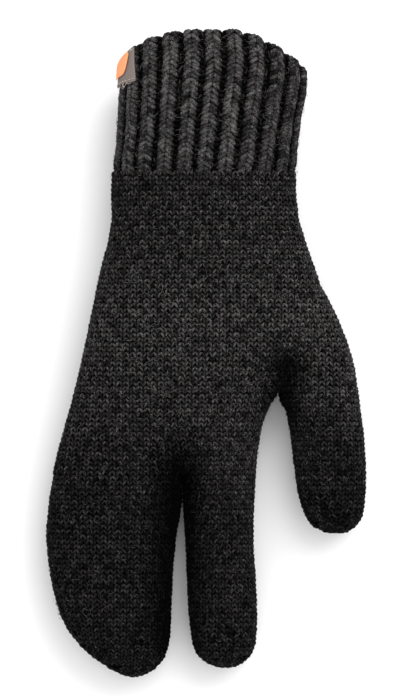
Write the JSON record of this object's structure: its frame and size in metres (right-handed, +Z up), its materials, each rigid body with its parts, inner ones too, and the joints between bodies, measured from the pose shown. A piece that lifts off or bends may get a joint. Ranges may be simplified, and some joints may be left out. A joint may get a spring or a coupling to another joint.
{
  "type": "three-finger wool glove",
  "caption": "Knitted wool glove with a ribbed cuff, an index finger, a thumb, one wide pouch for the other fingers and a small plain sewn label.",
  "frame": {"origin": "middle of the glove's outline, on the surface that it lies on", "axes": "+Y towards the cuff with the fingers along -Y, +X to the thumb side, +Z up out of the back of the hand"},
  "size_m": [0.1328, 0.2696, 0.0446],
  "materials": {
    "rib_knit": "charcoal wool, ribbed knit, fuzzy and matt",
    "plain_knit": "near-black wool, plain knit, fuzzy and matt",
    "label_tape": "grey-brown woven tape",
    "label_patch": "plain orange woven field"
  },
  "bodies": {
    "root": {"cuff": "rib_knit", "hand": "plain_knit", "finger_pouch": "plain_knit", "index_finger": "plain_knit", "thumb": "plain_knit", "label_tape": "label_tape", "label_patch": "label_patch"}
  },
  "joints": []
}
